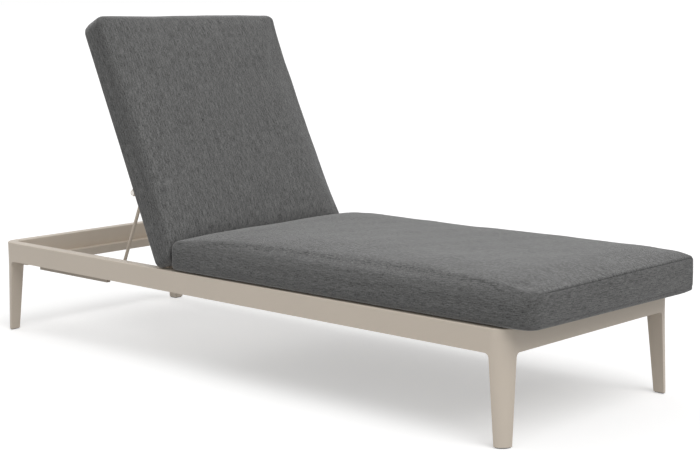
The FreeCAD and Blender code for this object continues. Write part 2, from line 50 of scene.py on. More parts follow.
Point = tuple[float, float, float]
# A pair is given as head and foot, or as right and left
Pair = tuple[float, float]
# Values by corner are given as head right, head left, foot right and foot left
Corners = tuple[float, float, float, float]

# Places shared with the CAD frame, in metres
HINGE_X = -0.2935
HINGE_Z = 0.255
FRAME_TOP = 0.281
RECLINE = math.radians(65.0)
SEAT_REAR_X = -0.2065
# The covers' own clearances, and the back cover's length
SEAT_LIFT = 0.0005
MEETING_GAP = 0.0045
BACK_LENGTH = 0.7425

WHITE = (1.0, 1.0, 1.0, 1.0)
BLACK = (0.0, 0.0, 0.0, 1.0)
# Keeps a division safe where a length may be nought
TINY = 1e-9
# Lattice places this close are taken as the same
SAME_PLACE = 1e-6
# A quad's corners as steps along the two axes of its panel
QUAD = ((0, 0), (1, 0), (1, 1), (0, 1))
# Light paths that show the white background
SHOWING_RAYS = ("Is Camera Ray", "Is Glossy Ray", "Is Transmission Ray")


def linear(red: int, green: int, blue: int) -> Colour:
    """Turns a display colour into the linear colour that a shader takes.

    The curve is a straight line up to 0.04045 and a power of 2.4 above it.

    Args:
        red: Display red, 0 to 255.
        green: Display green, 0 to 255.
        blue: Display blue, 0 to 255.

    Returns:
        Linear red, green, blue and a full alpha.
    """
    shares = np.array([red, green, blue]) / 255.0
    values = np.where(shares <= 0.04045, shares / 12.92, ((shares + 0.055) / 1.055) ** 2.4)
    return (*values.tolist(), 1.0)


class Panel(Enum):
    """The six sewn sides of a boxed cushion, as (fixed lattice axis, high side)."""

    HEAD = (0, False)
    FOOT = (0, True)
    RIGHT = (1, False)
    LEFT = (1, True)
    UNDER = (2, False)
    TOP = (2, True)


@dataclass(frozen=True)
class Signal:
    """A number that changes over a surface: one node socket with arithmetic on it."""

    recipe: "Recipe"
    socket: bpy.types.NodeSocket | None

    def math(self, operation: str, *others: object, held: bool = False) -> "Signal":
        """Adds one Math node that starts from this signal."""
        settings = {"operation": operation, "use_clamp": held}
        return self.recipe.node("ShaderNodeMath", settings, dict(enumerate((self, *others))))

    def __add__(self, other: object) -> "Signal":
        """This plus other."""
        return self.math("ADD", other)

    __radd__ = __add__

    def __mul__(self, other: object) -> "Signal":
        """This times other."""
        return self.math("MULTIPLY", other)

    __rmul__ = __mul__

    def __sub__(self, other: object) -> "Signal":
        """This less other."""
        return self.math("SUBTRACT", other)

    def __rsub__(self, other: float) -> "Signal":
        """Other less this."""
        return self.math("MULTIPLY", -1.0) + other

    def sine(self) -> "Signal":
        """The sine of this, in radians."""
        return self.math("SINE")

    def most(self, other: "Signal") -> "Signal":
        """The larger of this and other."""
        return self.math("MAXIMUM", other)

    def held(self) -> "Signal":
        """This kept between 0 and 1."""
        return self.math("ADD", 0.0, held=True)


class Recipe:
    """The node tree of a material or of the world, filled through one method."""

    def __init__(self, owner: bpy.types.Material | bpy.types.World) -> None:
        """Starts with an empty tree.

        Args:
            owner: The material or the world that the nodes are for.
        """
        owner.use_nodes = True
        self.owner = owner
        self.tree = owner.node_tree
        self.tree.nodes.clear()

    def node(self, kind: str, settings: dict | None = None, inputs: dict | None = None,
             output: int | str = 0) -> Signal:
        """Adds one node.

        Args:
            kind: Blender's node type.
            settings: Node properties, set first.
            inputs: Socket name or number to a value or a Signal.
            output: The output socket that is wanted.

        Returns:
            The output as a Signal, which is empty for a node that ends the tree.
        """
        made = self.tree.nodes.new(kind)
        for key, value in (settings or {}).items():
            setattr(made, key, value)
        for key, value in (inputs or {}).items():
            if isinstance(value, Signal):
                self.tree.links.new(value.socket, made.inputs[key])
            else:
                made.inputs[key].default_value = value
        return Signal(self, made.outputs[output] if made.outputs else None)

    def blend(self, factor: Signal, low: object, high: object) -> Signal:
        """A colour between two colours."""
        settings = {"data_type": "RGBA"}
        return self.node("ShaderNodeMix", settings, {"Factor": factor, 6: low, 7: high}, 2)

    def noise(self, vector: Signal, scale: float, detail: float = 2.0, roughness: float = 0.5) -> Signal:
        """A cloudy number about one half, from one noise node."""
        values = {"Vector": vector, "Scale": scale, "Detail": detail, "Roughness": roughness}
        return self.node("ShaderNodeTexNoise", {}, values)

    def stretched(self, vector: Signal, scale: Point) -> Signal:
        """The same coordinates, drawn out along their axes."""
        return self.node("ShaderNodeMapping", {}, {"Vector": vector, "Scale": scale})

    def bump(self, height: Signal, strength: float, distance: float) -> Signal:
        """A normal that follows a height."""
        values = {"Height": height, "Strength": strength, "Distance": distance}
        return self.node("ShaderNodeBump", {}, values)

    def place(self) -> Signal:
        """The piece's own Object coordinates."""
        return self.node("ShaderNodeTexCoord", output="Object")

    def mark(self, name: str) -> Signal:
        """A number that the mesh holds for each vertex."""
        return self.node("ShaderNodeAttribute", {"attribute_name": name}, output="Fac")

    def shown(self) -> Signal:
        """1 for rays that show the background: from the camera, off gloss or through glass."""
        camera, gloss, glass = (self.node("ShaderNodeLightPath", output=ray) for ray in SHOWING_RAYS)
        return camera.most(gloss).most(glass)

    def surface(self, inputs: dict) -> bpy.types.Material:
        """Ends the material in one Principled shader.

        Args:
            inputs: Socket name to a value or a Signal.

        Returns:
            The finished material.
        """
        shader = self.node("ShaderNodeBsdfPrincipled", {}, inputs)
        self.node("ShaderNodeOutputMaterial", {}, {"Surface": shader})
        return self.owner


@dataclass(frozen=True)
class PowderCoat:
    """A fine matt powder coating on aluminium."""

    name: str
    pale: Colour
    deep: Colour
    roughness: float = 0.46
    gloss_spread: float = 0.16
    specular: float = 0.42
    cloud: float = 7.0
    cloud_share: float = 0.55
    grain: float = 1500.0
    peel: float = 300.0
    peel_share: float = 0.4
    bump_strength: float = 0.16
    bump_depth: float = 0.0004

    def material(self) -> bpy.types.Material:
        """Cloudy base colour, a fine pebbled grain in the gloss and the surface.

        Returns:
            The coating's material.
        """
        recipe = Recipe(bpy.data.materials.new(self.name))
        place = recipe.place()
        cloud = recipe.noise(place, self.cloud, 3.0)
        pebble = recipe.noise(place, self.grain, 2.0, 0.6)
        peel = recipe.noise(place, self.peel, 1.0)
        tone = (cloud * self.cloud_share + pebble * (1 - self.cloud_share)).held()
        height = pebble * (1 - self.peel_share) + peel * self.peel_share
        return recipe.surface({
            "Base Color": recipe.blend(tone, self.deep, self.pale),
            "Roughness": (pebble - 0.5) * self.gloss_spread + self.roughness,
            "Specular IOR Level": self.specular,
            "Normal": recipe.bump(height, self.bump_strength, self.bump_depth)})


@dataclass(frozen=True)
class Yarn:
    """One layer of a cloth's streaks: its marks per metre along and across, and its share."""

    along: float
    across: float
    share: float
    detail: float = 2.0
    roughness: float = 0.5

    def layer(self, recipe: Recipe, cloth: Signal) -> Signal:
        """The layer's tone about nought."""
        drawn = recipe.stretched(cloth, (self.along, self.across, 1.0))
        return (recipe.noise(drawn, 1.0, self.detail, self.roughness) - 0.5) * self.share


@dataclass(frozen=True)
class MelangeFabric:
    """A woven outdoor fabric of mixed dark and pale grey yarn, with long slubs."""

    name: str
    dark: Colour
    pale: Colour
    seam: Colour
    thread: float = 0.0011
    slub: Yarn = Yarn(47.0, 350.0, 1.3)
    fine: Yarn = Yarn(165.0, 900.0, 1.4)
    band: Yarn = Yarn(10.0, 60.0, 0.42, 3.0, 0.6)
    cross: Yarn = Yarn(700.0, 130.0, 0.7, 1.0)
    fleck: Yarn = Yarn(110.0, 150.0, 1.6, 2.0, 0.6)
    weave_tone: float = 0.05
    weave_height: float = 0.35
    seam_depth: float = 0.9
    roughness: float = 0.95
    gloss_spread: float = 0.12
    specular: float = 0.35
    sheen: float = 0.62
    sheen_roughness: float = 0.34
    bump_strength: float = 0.40
    bump_depth: float = 0.0006

    def material(self) -> bpy.types.Material:
        """Slub streaks along the cloth, a plain weave, dark sewn lines, and shade painted on the side and
        end panels.

        The weave's height is sin(u) * sin(v), one thread per half wave. The streaks are four
        layers of drawn-out noise added up, and a level top also shows flecks. A sewn line
        darkens by the fourth power of its share.

        Returns:
            The fabric's material.
        """
        recipe = Recipe(bpy.data.materials.new(self.name))
        cloth = recipe.node("ShaderNodeUVMap", {"uv_map": "cloth"})
        turn = math.pi / self.thread
        u, v = (recipe.node("ShaderNodeSeparateXYZ", {}, {"Vector": cloth}, axis) for axis in "XY")
        weave = (u * turn).sine() * (v * turn).sine()
        slub, fine, band, cross, fleck = (
            yarn.layer(recipe, cloth) for yarn in (self.slub, self.fine, self.band, self.cross, self.fleck))
        mixed = slub + fine + band + cross
        tone = (mixed + fleck * recipe.mark("level") + weave * self.weave_tone + 0.5).held()
        # The per-vertex mark blends the colour towards black on the side and end panels: painted shade
        colour = recipe.blend(recipe.mark("painted_shade"), BLACK, recipe.blend(tone, self.dark, self.pale))
        sewn = recipe.mark("sewn")
        line = sewn * sewn
        return recipe.surface({
            "Base Color": recipe.blend(line * line * self.seam_depth, colour, self.seam),
            "Roughness": self.roughness - tone * self.gloss_spread,
            "Specular IOR Level": self.specular,
            "Sheen Weight": self.sheen,
            "Sheen Roughness": self.sheen_roughness,
            "Normal": recipe.bump(weave * self.weave_height + mixed, self.bump_strength, self.bump_depth)})


@dataclass(frozen=True)
class TurnedSteel:
    """Bare turned steel on pins, rivets and caps."""

    name: str
    dark: Colour
    pale: Colour
    scratches: Point = (2600.0, 160.0, 2600.0)
    roughness: float = 0.24
    gloss_spread: float = 0.25
    bump_strength: float = 0.12
    bump_depth: float = 0.0002

    def material(self) -> bpy.types.Material:
        """Grey metal whose gloss is broken by fine scratches.

        Returns:
            The steel's material.
        """
        recipe = Recipe(bpy.data.materials.new(self.name))
        scratch = recipe.noise(recipe.stretched(recipe.place(), self.scratches), 1.0, 3.0)
        return recipe.surface({
            "Base Color": recipe.blend(scratch, self.dark, self.pale),
            "Metallic": 1.0,
            "Roughness": scratch * self.gloss_spread + self.roughness,
            "Normal": recipe.bump(scratch, self.bump_strength, self.bump_depth)})


@dataclass(frozen=True)
class MouldedPlastic:
    """Dark moulded plastic on the glides and bushes."""

    name: str
    dark: Colour
    paler: float = 1.5
    grain: float = 1800.0
    roughness: float = 0.42
    gloss_spread: float = 0.2
    bump_strength: float = 0.2
    bump_depth: float = 0.0003

    def material(self) -> bpy.types.Material:
        """A near black plastic with a fine spark-eroded grain.

        Returns:
            The plastic's material.
        """
        recipe = Recipe(bpy.data.materials.new(self.name))
        grain = recipe.noise(recipe.place(), self.grain, 2.0, 0.6)
        pale = tuple(min(1.0, value * self.paler) for value in self.dark)
        return recipe.surface({
            "Base Color": recipe.blend(grain, self.dark, pale),
            "Roughness": grain * self.gloss_spread + self.roughness,
            "Normal": recipe.bump(grain, self.bump_strength, self.bump_depth)})


def stations(length: float, edge: float, fine: float, coarse: float) -> np.ndarray:
    """Distances along a side: close together near both ends, wider between.

    Args:
        length: The whole side.
        edge: The finely divided stretch at each end.
        fine: The step in that stretch.
        coarse: The step between.

    Returns:
        Rising distances from 0 to length.
    """
    near = np.linspace(0.0, edge, round(edge / fine) + 1)
    middle = np.linspace(edge, length - edge, round((length - 2 * edge) / coarse) + 1)
    return np.concatenate((near, middle[1:-1], length - near[::-1]))


def rounded(first: np.ndarray, second: np.ndarray,
            radius: np.ndarray | float) -> tuple[np.ndarray, np.ndarray]:
    """Rounds a right-angled edge.

    With q the share of the radius left before each face, the corner square turns into a quarter
    disc by q * max(q) / |q|.

    Args:
        first: Distance in from the first face.
        second: Distance in from the second face.
        radius: The edge's radius.

    Returns:
        The two distances after rounding.
    """
    q1 = np.clip(1.0 - first / radius, 0.0, 1.0)
    q2 = np.clip(1.0 - second / radius, 0.0, 1.0)
    share = np.maximum(q1, q2) / np.maximum(np.hypot(q1, q2), TINY)
    both = (q1 > 0) & (q2 > 0)
    return (np.where(both, radius * (1.0 - q1 * share), first),
            np.where(both, radius * (1.0 - q2 * share), second))


def risen(distance: np.ndarray, run: np.ndarray | float, rise: np.ndarray | float) -> np.ndarray:
    """The height gained on a circular arc that starts at an edge and ends level.

    The arc's radius is (run squared + rise squared) / (2 * rise).

    Args:
        distance: Distance in from the edge.
        run: The arc's whole length along the ground.
        rise: The height gained in all.

    Returns:
        The height at each distance.
    """
    bow = (run * run + rise * rise) / (2.0 * rise)
    left = np.clip(run - distance, 0.0, run)
    return rise - (bow - np.sqrt(bow * bow - left * left))


def chosen(pair: Pair, second: np.ndarray) -> np.ndarray:
    """The first value of a pair, or its second value where that is asked for."""
    return np.where(second, pair[1], pair[0])


def put(mesh: bpy.types.Mesh, points: np.ndarray) -> None:
    """Moves a mesh's vertices to new places."""
    mesh.vertices.foreach_set("co", points.ravel().astype(np.float32))


def note(mesh: bpy.types.Mesh, name: str, values: np.ndarray) -> None:
    """Keeps one number for each vertex under a name."""
    mesh.attributes.new(name, "FLOAT", "POINT").data.foreach_set("value", values.astype(np.float32))


@dataclass(frozen=True)
class Wave:
    """A plane sine wave over a cushion: sin(along * x + across * y + shift + turns * phase)."""

    along: float
    across: float
    shift: float = 0.0
    turns: float = 0.0

    def over(self, x: np.ndarray, y: np.ndarray, phase: float) -> np.ndarray:
        """The wave's height at each place."""
        return np.sin(self.along * x + self.across * y + self.shift + self.turns * phase)


# Soft dents in a cover: a share and the two waves that cross in it
DENTS = (
    (1.0, Wave(9.1, 3.3, 0.0, 1.0), Wave(-2.1, 11.7, 0.0, 2.0)),
    (0.6, Wave(21.0, -8.0, 1.3, 1.0), Wave(6.0, 17.0)),
    (0.35, Wave(43.0, 9.0, 0.0, 1.0), Wave(-11.0, 39.0, 0.7)))


@dataclass(frozen=True)
class ClothTrial:
    """How stiff a cover is and how hard it is blown up."""

    quality: int = 4
    mass: float = 0.3
    tension: float = 12.0
    shear: float = 5.0
    bending: float = 0.3
    pressure: float = 4.0
    frames: int = 20

    def run(self, obj: bpy.types.Object, held: np.ndarray) -> np.ndarray:
        """Blows an object's mesh up as cloth without weight, and takes the modifier off again.

        Args:
            obj: The cushion's mesh object.
            held: Which vertices stay where they are.

        Returns:
            Places of the vertices at the last frame.
        """
        group = obj.vertex_groups.new(name="held")
        group.add(np.flatnonzero(held).tolist(), 1.0, "REPLACE")
        cloth = obj.modifiers.new("cover", "CLOTH")
        settings = cloth.settings
        settings.quality = self.quality
        settings.mass = self.mass
        settings.tension_stiffness = settings.compression_stiffness = self.tension
        settings.shear_stiffness = self.shear
        settings.bending_stiffness = self.bending
        settings.use_pressure = True
        settings.uniform_pressure_force = self.pressure
        settings.effector_weights.gravity = 0.0
        settings.vertex_group_mass = group.name
        cloth.point_cache.frame_start = 1
        cloth.point_cache.frame_end = self.frames
        for step in range(1, self.frames + 1):
            bpy.context.scene.frame_set(step)
        result = obj.evaluated_get(bpy.context.evaluated_depsgraph_get()).data
        after = np.empty(len(held) * 3, np.float32)
        result.vertices.foreach_get("co", after)
        obj.modifiers.remove(cloth)
        obj.vertex_groups.remove(group)
        bpy.context.scene.frame_set(1)
        return after.reshape(-1, 3)


@dataclass
class Cushion:
    """A plump cushion: a waterfall top over the long sides, and sewn end panels."""

    # What it is, what it stands for and where it lies
    name: str
    node: str
    body: str
    place: Matrix
    fabric: bpy.types.Material
    # Its main sizes, and the radii of its corners in plan and of its upper rims
    length: float
    side_height: float
    crown: float
    corner_radii: Corners
    edge_radii: Corners
    side_radii: Pair
    end_radii: Pair
    width: float = 0.700
    edge_run: float = 0.07
    under_radius: float = 0.012
    under_share: float = 0.25
    # How its long sides are drawn in, its head end askew, its corners pulled out and lowered
    draw_in: float = 0.004
    skew: float = 0.0
    pulls: Corners = (0.0, 0.0, 0.0, 0.0)
    falls: Corners = (0.0, 0.0, 0.0, 0.0)
    # How its top rises from the two ends and the two sides
    end_heights: Pair = (0.083, 0.083)
    end_runs: Pair = (0.090, 0.090)
    end_overrise: float = 0.002
    side_runs: Pair = (0.190, 0.120)
    ridge: float = 0.004
    # How its end panels bulge, its sides by a share of that, and its lower edge lifts
    bulge: float = 0.0035
    side_bulge: float = 0.5
    bulge_run: float = 0.02
    tuck: float = 0.003
    tuck_run: float = 0.025
    # How its overhanging end droops and its front is pressed flat
    droop: float = 0.0
    droop_run: float = 0.062
    droop_power: float = 1.5
    press_plane: float | None = None
    press_soft: float = 0.006
    # How finely it is cut
    end_stretch: float = 0.064
    end_step: float = 0.004
    side_stretch: float = 0.060
    side_step: float = 0.005
    middle_step: float = 0.012
    rows_up: int = 15
    # Its seams, their puckers, the dents between them and the crease at a sharp corner
    head_sewn: bool = True
    low_seam_row: int = 2
    low_seam_share: float = 0.8
    seam_depth: float = 0.0022
    seam_clear: float = 0.6
    seam_fade: float = 0.04
    pucker_depth: float = 0.00035
    pucker_wave: float = 0.038
    pucker_stray: float = 1.7
    pucker_beat: float = 23.0
    pucker_rise: int = 12
    pucker_run: float = 0.030
    pucker_inset: float = 0.08
    dent_depth: float = 0.0012
    sharp_corner: float = 0.01
    ear_crease: float = 0.6
    # How far it swells, and where it is free to
    most_swell: float = 0.007
    rest_share: float = 0.3
    free_share: float = 0.4
    free_run: float = 0.16
    # Where its cloth is cut from, where its top shows flecks, and how much shade is painted on its side and
    # end panels
    end_offcut: float = 3.7
    under_offcut: float = 2.0
    lies_flat: bool = False
    level_run: float = 0.06
    top_share: float = 0.99
    # Painted shade: the colour factor kept at the side and end panels, and how far in each fades out
    side_shade_factor: float = 0.78
    side_shade_run: float = 0.06
    end_shade_factor: float = 0.92
    end_shade_run: float = 0.006
    phase: float = 0.0

    def lattice(self) -> tuple[np.ndarray, np.ndarray, np.ndarray, np.ndarray]:
        """The box lattice that the cushion is cut on.

        Returns:
            Lattice places of the vertices (length, width and height share), quads, the cloth
            coordinate of every quad corner, and each vertex's share of sewn line.
        """
        along = stations(self.length, self.end_stretch, self.end_step, self.middle_step)
        across = stations(self.width, self.side_stretch, self.side_step, self.middle_step)
        axes = (along, across - self.width / 2, np.linspace(0.0, 1.0, self.rows_up))
        counts = np.array([len(axis) for axis in axes])
        keys, cloths = [], []
        for panel in Panel:
            axis, high = panel.value
            u, v = [k for k in range(3) if k != axis]
            i, j = np.meshgrid(np.arange(counts[u] - 1), np.arange(counts[v] - 1), indexing="ij")
            corners = np.stack([np.stack((i + a, j + b), -1) for a, b in QUAD], 2)
            if high == (axis == 1):
                corners = corners[:, :, ::-1]
            cell = np.zeros(corners.shape[:3] + (3,), int)
            cell[..., axis] = counts[axis] - 1 if high else 0
            cell[..., u] = corners[..., 0]
            cell[..., v] = corners[..., 1]
            keys.append(cell.reshape(-1, 3))
            real = [axes[k][cell[..., k]] * (self.side_height if k == 2 else 1.0) for k in range(3)]
            cloths.append(self.cloth_place(panel, real).reshape(-1, 2))
        key = np.concatenate(keys)
        flat = (key[:, 0] * counts[1] + key[:, 1]) * counts[2] + key[:, 2]
        _, first, index = np.unique(flat, return_index=True, return_inverse=True)
        spots = key[first]
        lattice = np.stack([axes[k][spots[:, k]] for k in range(3)], -1)
        sewn = self.seams(spots, counts, lattice[:, 1])
        return lattice, index.reshape(-1, 4), np.concatenate(cloths), sewn

    def seams(self, spots: np.ndarray, counts: np.ndarray, across: np.ndarray) -> np.ndarray:
        """Where the end panels are sewn on: along their upper edge, and lightly near the lower one.

        The foot panel's seams fade out towards its round right corner.

        Args:
            spots: Each vertex's row on the three lattice axes.
            counts: The number of rows on each axis.
            across: Each vertex's place across the cushion.

        Returns:
            Each vertex's share of sewn line.
        """
        at_head, at_foot = spots[:, 0] == 0, spots[:, 0] == counts[0] - 1
        low, high = spots[:, 2] == self.low_seam_row, spots[:, 2] == counts[2] - 1
        upper = high & (at_foot | at_head & self.head_sewn)
        sewn = np.where((at_foot | at_head) & low, self.low_seam_share, upper)
        from_corner = across + self.width / 2 - self.seam_clear * self.corner_radii[2]
        return sewn * np.where(at_foot, np.clip(from_corner / self.seam_fade, 0, 1), 1.0)

    def cloth_place(self, panel: Panel, real: list[np.ndarray]) -> np.ndarray:
        """Cloth coordinates in metres, with the slubs along the first one.

        The top and the long sides are one piece of cloth. The other panels are cut elsewhere
        from it, so that their streaks don't run on.

        Args:
            panel: The panel that is cut.
            real: Flat places along, across and up.

        Returns:
            Two coordinates for each place.
        """
        along, across, up = real
        if panel in (Panel.HEAD, Panel.FOOT):
            shift = list(Panel).index(panel) * self.end_offcut + self.phase
            return np.stack((across + shift, up + shift), -1)
        wrap = {Panel.TOP: across, Panel.UNDER: across + self.under_offcut,
                Panel.LEFT: self.width / 2 + self.side_height - up,
                Panel.RIGHT: up - self.side_height - self.width / 2}[panel]
        return np.stack((along + self.phase, wrap + self.phase), -1)

    def spread(self, values: Corners, x: np.ndarray, left: np.ndarray) -> np.ndarray:
        """Draws a straight line along each long side between the values of its two corners.

        Args:
            values: One value for each corner.
            x: Places along the length.
            left: Which places are on the left half.

        Returns:
            One value for each place.
        """
        t = np.clip(x / self.length, 0, 1)
        return chosen(values[:2], left) * (1 - t) + chosen(values[2:], left) * t

    def top(self, x: np.ndarray, y: np.ndarray) -> np.ndarray:
        """The top's height over the plan.

        It is the lower of two forms, with a soft ridge where they meet: an arc that rises from
        each end, and one that rises from each long side. The right side's arc starts at the
        edge itself, and the left side's behind the round of its rim.

        Args:
            x: Places along the length.
            y: Places across.

        Returns:
            Metres over the underside.
        """
        foot, left = x > self.length / 2, y > 0
        end, side = np.minimum(x, self.length - x), self.width / 2 - np.abs(y)
        low = chosen(self.end_heights, foot)
        end_rise = self.side_height + self.crown + self.end_overrise - low
        long_top = low + risen(end, chosen(self.end_runs, foot), end_rise)
        fall = self.spread(self.falls, x, left)
        inward = np.maximum(side - np.where(left, self.side_radii[1], 0.0), 0)
        reach = chosen(self.side_runs, left) + 2 * fall
        wide_top = self.side_height - fall + risen(inward, reach, self.crown + fall)
        gap = np.clip(0.5 + (wide_top - long_top) / (2 * self.ridge), 0, 1)
        return wide_top * (1 - gap) + long_top * gap - self.ridge * gap * (1 - gap)

    def shape(self, lattice: np.ndarray) -> np.ndarray:
        """Bends the box lattice into the cushion, lying flat with its underside at 0.

        The plan is a rectangle with round corners and long sides drawn in by a half sine. The
        rim is a quarter round across the plan's outline, whose radius goes from the end's to the
        side's by the squares of the outline's direction. Both end panels bulge as a product of
        two parabolas, and the lower edge of the long sides is lifted by a cube.

        Args:
            lattice: Lattice places.

        Returns:
            Places in metres.
        """
        x, y, c = lattice.T
        half = self.width / 2
        foot, left = x > self.length / 2, y > 0
        which = 2 * foot + left
        end, side = np.minimum(x, self.length - x), half - np.abs(y)
        corner = np.array(self.corner_radii)[which]
        q1, q2 = np.clip(1 - end / corner, 0, 1), np.clip(1 - side / corner, 0, 1)
        size = np.maximum(np.hypot(q1, q2), TINY)
        turning = (q1 > 0) & (q2 > 0)
        endways = (q1 > 0) | (q2 == 0) & (end < side)
        n1 = np.where(turning, q1 / size, endways)
        n2 = np.where(turning, q2 / size, ~endways)
        inset = np.where(turning, corner * (1 - np.maximum(q1, q2)), np.where(endways, end, side))
        broad = chosen(self.side_radii, left)
        flank = broad + (np.array(self.edge_radii)[which] - broad) * np.exp(-(end / self.edge_run) ** 2)
        upper = flank * n2 ** 2 + chosen(self.end_radii, foot) * n1 ** 2
        top = self.top(x, y)
        z = c * top
        high = c > self.under_share
        inset, rim = rounded(inset, np.where(high, top - z, z), np.where(high, upper, self.under_radius))
        end = np.where(turning, corner - (corner - inset) * n1, np.where(endways, inset, end))
        side = np.where(turning, corner - (corner - inset) * n2, np.where(endways, side, inset))
        tucked = self.tuck * (1 - c) ** 3 * np.exp(-(side / self.tuck_run) ** 2)
        z = np.where(high, top - rim, rim) + tucked
        belly = self.bulge * 4 * c * (1 - c)
        end = end - belly * (1 - (y / half) ** 2) * np.exp(-end / self.bulge_run)
        side = side - self.side_bulge * belly * np.exp(-side / self.bulge_run)
        waist = self.draw_in * np.sin(np.pi * np.clip(x / self.length, 0, 1))
        lean = self.skew * (y / half) * (1 - x / self.length)
        wider = 1 + self.spread(self.pulls, x, left) / half
        y = np.where(left, 1, -1) * (half - waist - side) * wider
        return np.stack((np.where(foot, self.length - end, end) + lean, y, z), -1)

    def swell(self, obj: bpy.types.Object, start: np.ndarray, lattice: np.ndarray,
              sewn: np.ndarray) -> np.ndarray:
        """Blows the cover up a little as cloth, held at its sewn lines and where it rests.

        The motion fades out towards the underside and the two ends.

        Args:
            obj: The cushion's mesh object.
            start: Places before.
            lattice: Lattice places.
            sewn: Each vertex's share of sewn line.

        Returns:
            Places after, with the motion capped.
        """
        x, _, c = lattice.T
        move = ClothTrial().run(obj, (c < self.rest_share) | (sewn > 0.5)) - start
        size = np.linalg.norm(move, axis=1, keepdims=True)
        LOG.info("%s swells by %.1f mm at most, %.1f mm on average",
                 self.name, size.max() * 1e3, size.mean() * 1e3)
        raised = np.clip((c - self.rest_share) / self.free_share, 0, 1)
        fade = raised * np.clip(np.minimum(x, self.length - x) / self.free_run, 0, 1)
        return start + move * fade[:, None] * np.minimum(1.0, self.most_swell / np.maximum(size, TINY))

    def relief(self, lattice: np.ndarray, sewn: np.ndarray) -> np.ndarray:
        """How far the cover stands off its smooth form, along the normal.

        Long soft dents are sums of crossed sines. Puckers are short waves along a sewn line that
        die away from it, and the sewn line itself is drawn in.

        Args:
            lattice: Lattice places.
            sewn: Each vertex's share of sewn line.

        Returns:
            Metres outwards.
        """
        x, y, c = lattice.T
        p = self.phase
        dents = sum(share * one.over(x, y, p) * two.over(x, y, p) for share, one, two in DENTS)
        end = np.minimum(x, self.length - x)
        inner = np.clip((self.width / 2 - np.abs(y)) / self.pucker_inset, 0, 1) ** 2
        stray = self.pucker_stray * np.sin(self.pucker_beat * y + p)
        ripple = np.sin(2 * np.pi * y / self.pucker_wave + stray)
        pucker = inner * c ** self.pucker_rise * np.exp(-end / self.pucker_run) * ripple
        free = np.clip(c / self.under_share, 0, 1)
        return free * (self.dent_depth * dents + self.pucker_depth * pucker) - self.seam_depth * sewn

    def settled(self, points: np.ndarray, lattice: np.ndarray) -> np.ndarray:
        """Lays the cushion down, lets its overhang droop, places it and presses its front flat.

        The droop grows by a power of the overhang, and from the right side to the left. Points
        past the pressed plane go onto it, with a parabola across the soft stretch about it.

        Args:
            points: Places in metres, lying flat.
            lattice: Lattice places.

        Returns:
            Places in the shared frame.
        """
        x, y, c = lattice.T
        laid = points.copy()
        laid[:, 2] = np.maximum(laid[:, 2], 0.0)
        over = np.clip((x - self.length + self.droop_run) / self.droop_run, 0, 1)
        laid[:, 2] -= self.droop * over ** self.droop_power * (0.5 + y / self.width) * (1 - c)
        turn = np.array(self.place)
        laid = laid @ turn[:3, :3].T + turn[:3, 3]
        if self.press_plane is not None:
            past, soft = laid[:, 0] - self.press_plane, self.press_soft
            bent = np.where(past < -soft, 0, (past + soft) ** 2 / (4 * soft))
            laid[:, 0] -= np.where(past > soft, past, bent)
        return laid

    def painted_shade(self, lattice: np.ndarray) -> np.ndarray:
        """Painted shade: a factor on the colour, lower on the side and end panels.

        Args:
            lattice: Lattice places.

        Returns:
            A factor for each vertex.
        """
        x, y, _ = lattice.T
        in_side, in_end = self.width / 2 - np.abs(y), np.minimum(x, self.length - x)
        sides = 1 - (1 - self.side_shade_factor) * np.exp(-in_side / self.side_shade_run)
        ends = 1 - (1 - self.end_shade_factor) * np.exp(-in_end / self.end_shade_run)
        return np.minimum(sides, ends)

    def dress(self, mesh: bpy.types.Mesh, lattice: np.ndarray, sewn: np.ndarray) -> None:
        """Gives the mesh its fabric and the marks that the fabric reads.

        The left foot corner keeps a crease where it isn't round.

        Args:
            mesh: The cushion's mesh.
            lattice: Lattice places.
            sewn: Each vertex's share of sewn line.
        """
        x, y, c = lattice.T
        half, on_top = self.width / 2, c > self.top_share
        ear = (x > self.length - SAME_PLACE) & (y > half - SAME_PLACE)
        ear = ear & (self.corner_radii[3] < self.sharp_corner)
        level = np.clip((half - np.abs(y)) / self.level_run, 0, 1) * on_top
        note(mesh, "sewn", sewn)
        note(mesh, "crease_vert", ear * np.where(on_top, 1.0, self.ear_crease))
        # Painted shade: a colour factor that darkens the side and end panels
        note(mesh, "painted_shade", self.painted_shade(lattice))
        note(mesh, "level", level * self.lies_flat)
        mesh.polygons.foreach_set("use_smooth", np.ones(len(mesh.polygons), bool))
        mesh.materials.append(self.fabric)

    def build(self) -> bpy.types.Object:
        """Cuts, swells, sews, places and dresses the cushion.

        Returns:
            The finished object, riding on its body in place of the CAD solid.
        """
        lattice, quads, cloth, sewn = self.lattice()
        points = self.shape(lattice)
        mesh = bpy.data.meshes.new(self.name)
        mesh.from_pydata(points, [], quads)
        mesh.uv_layers.new(name="cloth").data.foreach_set("uv", cloth.ravel().astype(np.float32))
        obj = bpy.data.objects.new(self.name, mesh)
        bpy.context.scene.collection.objects.link(obj)
        points = self.swell(obj, points, lattice, sewn)
        put(mesh, points)
        mesh.update()
        normals = np.empty(len(points) * 3, np.float32)
        mesh.vertices.foreach_get("normal", normals)
        points = points + normals.reshape(-1, 3) * self.relief(lattice, sewn)[:, None]
        put(mesh, self.settled(points, lattice))
        self.dress(mesh, lattice, sewn)
        mesh.update()
        finer = obj.modifiers.new("finer", "SUBSURF")
        finer.levels = finer.render_levels = 1
        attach(obj, self.body)
        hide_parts(self.node)
        LOG.info("%s: %d points", self.name, len(points))
        return obj


